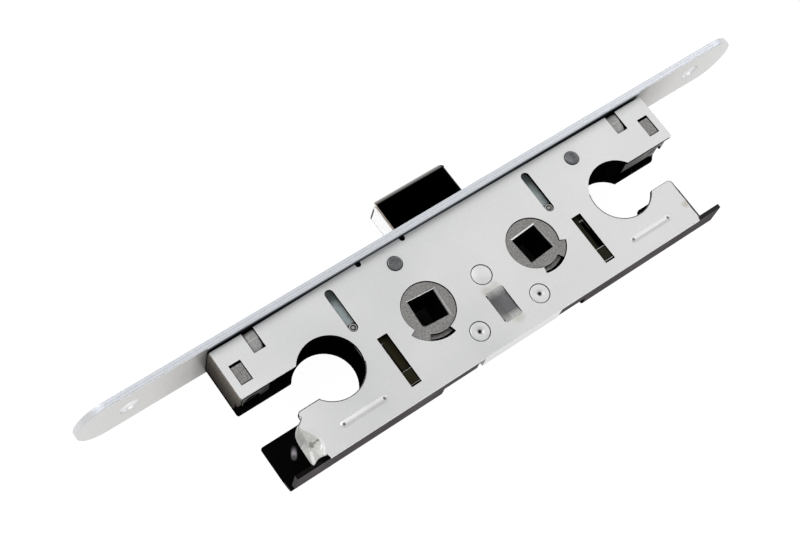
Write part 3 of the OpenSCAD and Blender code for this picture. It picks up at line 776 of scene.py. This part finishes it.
stud = lathe("stud", 0, BACK, [(0, 6.72, 0), (2.68, 6.72, 0), (2.78, 6.66, 1), (2.8, 6.0, 1), (2.99, 6.0, 1), (2.99, 3.41, 1), (0, 3.41, 1)])
repaint(stud, (M["cover_steel"], M["deep"]), lambda c, n, i: i)
stand_for(stud, "centre_stud")

for nm, x in (("guide_pin_left", -37.9), ("guide_pin_right", 28.4)):
    gp = lathe(nm + "_form", x, 14.5, [(0, 6.40, 0), (0.42, 6.41, 0), (0.5, 6.3, 1), (0.52, 6.0, 1), (0.72, 6.0, 1), (0.74, 6.35, 0), (0.85, 6.47, 0), (1.02, 6.47, 0),
                                       (1.14, 6.38, 0), (1.19, 6.2, 1), (1.19, 3.21, 1), (0, 3.21, 1)], 48)
    repaint(gp, (M["zinc_light"], M["deep"]), lambda c, n, i: i)
    stand_for(gp, nm)

# ---------------------------------------------------------------------- hubs
for sx, nm in ((-1, "hub_left"), (1, "hub_right")):
    def hub_rule(c, e):
        r = math.hypot(c.x - sx * HUB_X, c.y - BACK)
        if c.z > 6.3 and r < 6.3:
            return 0.5 if sx < 0 else 0.38
        return 0.12

    # painted highlight and shade on the hubs: bright front chamfer of the square, lit chamfers and outer rim,
    # near-black hole walls, shaded lower faces
    def hub_pick(c, n, i):
        r = math.hypot(c.x - sx * HUB_X, c.y - BACK)
        if c.z > 6.0 and r < 6.3 and 0.2 < n.z < 0.97:
            return 2 if n.y > 0.3 else (3 if n.x < -0.3 else 0)
        if c.z > 6.0 and r > 7.1 and 0.2 < n.z < 0.97:
            return 3
        if abs(n.z) < 0.5 and (r < 6.3 or r > 7.0) and c.z > -7:
            return 1
        return 0 if c.z > 4 or c.z < -6 else 4

    hb = soften(nm, 0.12, seg=2, rule=hub_rule, clamp=False)
    repaint(hb, (M["zinc"], M["deep"], M["bright_edge"], M["zinc_light"], M["slot_wall_l"]), hub_pick)
    stand_for(hb, nm)

# ------------------------------------------------- spring seen in the window
leaf = soften("detent_spring", 0.06)
# painted shade: the leaf under the cover in near-black
repaint(leaf, (M["deep"],), lambda c, n, i: 0)
stand_for(leaf, "detent_spring")
cols = ((-2.66, 5.98), (-1.8, 6.18), (-0.55, 6.50), (1.1, 6.42), (2.84, 6.36))
steps = ((25.75, 0.0), (26.3, 0.0), (26.95, 0.35), (27.6, 0.80), (28.2, 1.0), (30.5, 1.0), (32.9, 1.0), (33.5, 0.80), (34.15, 0.35), (34.8, 0.0), (35.35, 0.0))
rows = [[(x * (1.0 - 0.05 * (1 - f)), d, 6.765 + (z - 6.765) * f) for x, z in cols] for d, f in steps]
tongue = sheet("tongue", rows, 0.3, mats=lambda i, j: 1 if j < 2 else 0)
for p in tongue.data.polygons:
    p.use_smooth = True
tongue.data.set_sharp_from_angle(angle=math.radians(50))
# painted light and shade on the tongue: lighter end ramps, dark middle, darker left side
repaint(tongue, (M["spring_steel"], M["spring_dark"]), lambda c, n, i: i)
stand_for(tongue, "detent_spring")


# -------------------------------------------------------------------- slides
def slide_pre(bm):
    for v in bm.verts:
        c = plan(v.co)
        if c.y > 36.0 and c.z > 5.35:
            v.co = P(c.x, 35.62, c.z)


# painted highlights: bright strips on the slide's rear-facing edge, the lug's front top edge and its rear bevel
def slide_pick(c, n, i):
    if n.y > 0.6 and 21.6 < c.y < 22.3:
        return 2
    if n.y > 0.25 and 35.2 < c.y < 36.0 and c.z > 5.35:
        return 2
    if c.z > 6.2 and 31.2 < c.y < 31.9 and n.y < -0.2:
        return 2
    return 0


for nm in ("lock_slide_left", "lock_slide_right"):
    sl = soften(nm, 0.14, seg=2, pre=slide_pre)
    repaint(sl, (M["slide_steel"], M["deep"], M["bright_edge"]), slide_pick)
    stand_for(sl, nm)


# ---------------------------------------------------------------------- bolt
def bolt_pre(bm):
    """Long edges of the nose broken by two narrow facets."""
    for x in (-11.25, 11.25):
        bmesh.ops.bisect_plane(bm, geom=bm.verts[:] + bm.edges[:] + bm.faces[:], plane_co=P(x, 0, 0), plane_no=Vector((1, 0, 0)))
    for z in (-3.8, 3.8):
        bmesh.ops.bisect_plane(bm, geom=bm.verts[:] + bm.edges[:] + bm.faces[:], plane_co=P(0, 0, z), plane_no=Vector((0, 0, 1)))
    for v in bm.verts:
        c = plan(v.co)
        if abs(c.x) > 11.97 and abs(c.z) > 4.4 and c.y < 12:
            v.co = P(math.copysign(11.77, c.x), c.y, math.copysign(4.29, c.z))


# painted reflection on the bolt: near-black top and right top facet, white side faces, a brownish highlight on the left
# top facets
def bolt_pick(c, n, i):
    if c.z > 4.2 and n.z > 0.985 and abs(c.x) < 11.3:
        return 2
    if c.x < -9.9 and c.y < 12:
        if c.x < -11.2 and c.z > 3.7 and n.z > 0.2 and n.y > -0.35:
            return 3
        if c.x < -11.0 or n.x < -0.25 or c.z < -1:
            return 1
    if c.x > 11.2 and c.y < 12 and (n.x > 0.3 or c.z > 3.7):
        return 2 if c.z > 3.7 else 1
    return 0


head = soften("bolt_head", 0.02, seg=1, pre=bolt_pre)
repaint(head, (M["bolt_nickel"], M["bolt_side"], M["bolt_top"], M["bolt_strip"]), bolt_pick)
stand_for(head, "bolt_head")
for nm in ("claw_left", "claw_right"):
    cl = soften(nm, 0.12)
    # painted reflection: the claws' outer side faces in the white side material
    repaint(cl, (M["claw_steel"], M["bolt_side"]), lambda c, n, i: 1 if abs(n.x) > 0.85 and abs(c.x) > 11.4 else 0)
    stand_for(cl, nm)

for node in ("case_screws", "claw_pins", "bolt_tail", "tail_rivets", "claw_pivot", "blocker_left", "blocker_right", "blocker_pin_left", "blocker_pin_right"):
    stand_for(soften(node, 0.12), node)

# -------------------------------------------------------------------- stage
fl = bpy.data.meshes.new("floor")
h = 1.5
slope = 2.25 / 40.0


def floor_z(y):
    return -9.02 * MM + (0.002 - y) * slope


vs = []
for x in (-h, h):
    for y in (-h, h):
        vs.append((x, y, floor_z(y)))
fl.from_pydata(vs, [], [(0, 2, 3, 1)])
floor = bpy.data.objects.new("floor", fl)
SC.collection.objects.link(floor)
m, nt, b = new_mat("floor_paper")
mp = coords(nt)
n1 = noise(nt, mp, 6.0, 2.0, 0.5)
cr = ramp(nt, [(0.3, (0.05, 0.05, 0.05)), (0.7, (0.055, 0.055, 0.055))])
link(nt, n1, 0, cr, 0)
link(nt, cr, 0, b, "Base Color")
b.inputs["Roughness"].default_value = 0.9
# the paper glows evenly; painted shadow: dark spots masked into the glow right under the two hubs and the right slide
tc = add(nt, "ShaderNodeTexCoord")
prev = None
for cx, cd, cr_ in ((-17.8 + 4.6, BACK - 3.4, 5.9), (17.8 + 4.6, BACK - 3.4, 5.9), (43.5, 20.6, 3.7),
                   (41.7, 22.4, 4.0), (-13.8, 27.0, 3.7)):
    vd = add(nt, "ShaderNodeVectorMath", operation="DISTANCE")
    link(nt, tc, "Object", vd, 0)
    vd.inputs[1].default_value = P(cx, cd, -10.2)
    sm = add(nt, "ShaderNodeMapRange", interpolation_type="SMOOTHSTEP")
    sm.inputs["From Min"].default_value = (cr_ - 0.7) * MM
    sm.inputs["From Max"].default_value = (cr_ + 0.7) * MM
    nt.links.new(vd.outputs["Value"], sm.inputs[0])
    if prev is None:
        prev = sm
    else:
        mu = add(nt, "ShaderNodeMath", operation="MULTIPLY")
        nt.links.new(prev.outputs[0], mu.inputs[0])
        nt.links.new(sm.outputs[0], mu.inputs[1])
        prev = mu
cr2 = ramp(nt, [(0.0, (0.0, 0.0, 0.0)), (1.0, (1.0, 1.0, 1.0))])
link(nt, prev, 0, cr2, 0)
link(nt, cr2, 0, b, "Emission Color")
b.inputs["Emission Strength"].default_value = 0.98
paint(floor, m)


def area(name, loc, target, size, power, color=(1, 1, 1), size_y=None):
    l = bpy.data.lights.new(name, "AREA")
    l.shape = "RECTANGLE"
    l.size = size
    l.size_y = size_y or size
    l.energy = power
    l.color = color
    o = bpy.data.objects.new(name, l)
    o.location = loc
    d = Vector(target) - Vector(loc)
    o.rotation_mode = "QUATERNION"
    o.rotation_quaternion = d.to_track_quat("-Z", "Y")
    SC.collection.objects.link(o)
    return o


area("key", (-0.25, 0.75, 0.95), (0, 0, 0), 0.7, 10.5)
area("side", (0.85, 0.25, 0.75), (0, 0, 0), 0.6, 3)
area("front", (0.25, -0.95, 0.45), (0, -0.02, 0), 0.9, 4, size_y=0.2)

w = bpy.data.worlds.new("studio")
SC.world = w
w.use_nodes = True
wn = w.node_tree
bg = wn.nodes["Background"]
tc = wn.nodes.new("ShaderNodeTexCoord")
dot = wn.nodes.new("ShaderNodeVectorMath")
dot.operation = "DOT_PRODUCT"
nrm = wn.nodes.new("ShaderNodeVectorMath")
nrm.operation = "NORMALIZE"
wn.links.new(tc.outputs["Generated"], nrm.inputs[0])
wn.links.new(nrm.outputs[0], dot.inputs[0])
dot.inputs[1].default_value = Vector((0.30, 0.25, 0.92)).normalized()
cr = wn.nodes.new("ShaderNodeValToRGB")
e = cr.color_ramp.elements
e[0].position, e[0].color = 0.0, (0.80, 0.80, 0.81, 1)
e[1].position, e[1].color = 1.0, (0.003, 0.003, 0.003, 1)
k = e.new(0.60); k.color = (0.72, 0.72, 0.73, 1)
k = e.new(0.82); k.color = (0.22, 0.22, 0.22, 1)
k = e.new(0.90); k.color = (0.01, 0.01, 0.01, 1)
wn.links.new(dot.outputs["Value"], cr.inputs[0])
wn.links.new(cr.outputs[0], bg.inputs[0])
bg.inputs[1].default_value = 0.9

# ------------------------------------------------------------------- camera
cam = bpy.data.cameras.new("cam")
cam.sensor_width = 36
cam.lens = 71.709
cam.shift_x, cam.shift_y = -0.01017, -0.01687
cam.clip_start, cam.clip_end = 0.01, 10
co = bpy.data.objects.new("cam", cam)
right, up, back = Vector((0.7979, -0.5813, 0.1593)), Vector((0.4792, 0.7721, 0.4173)), Vector((-0.3656, -0.2566, 0.8947))
right.normalize()
back = (back - right * back.dot(right)).normalized()
up = back.cross(right)
mw = Matrix((right, up, back)).transposed().to_4x4()
mw.translation = Vector((-0.16823, -0.11383, 0.38627))
co.matrix_world = mw
SC.collection.objects.link(co)
SC.camera = co
SC.view_settings.view_transform = "Standard"
SC.view_settings.look = "None"

bpy.context.view_layer.update()
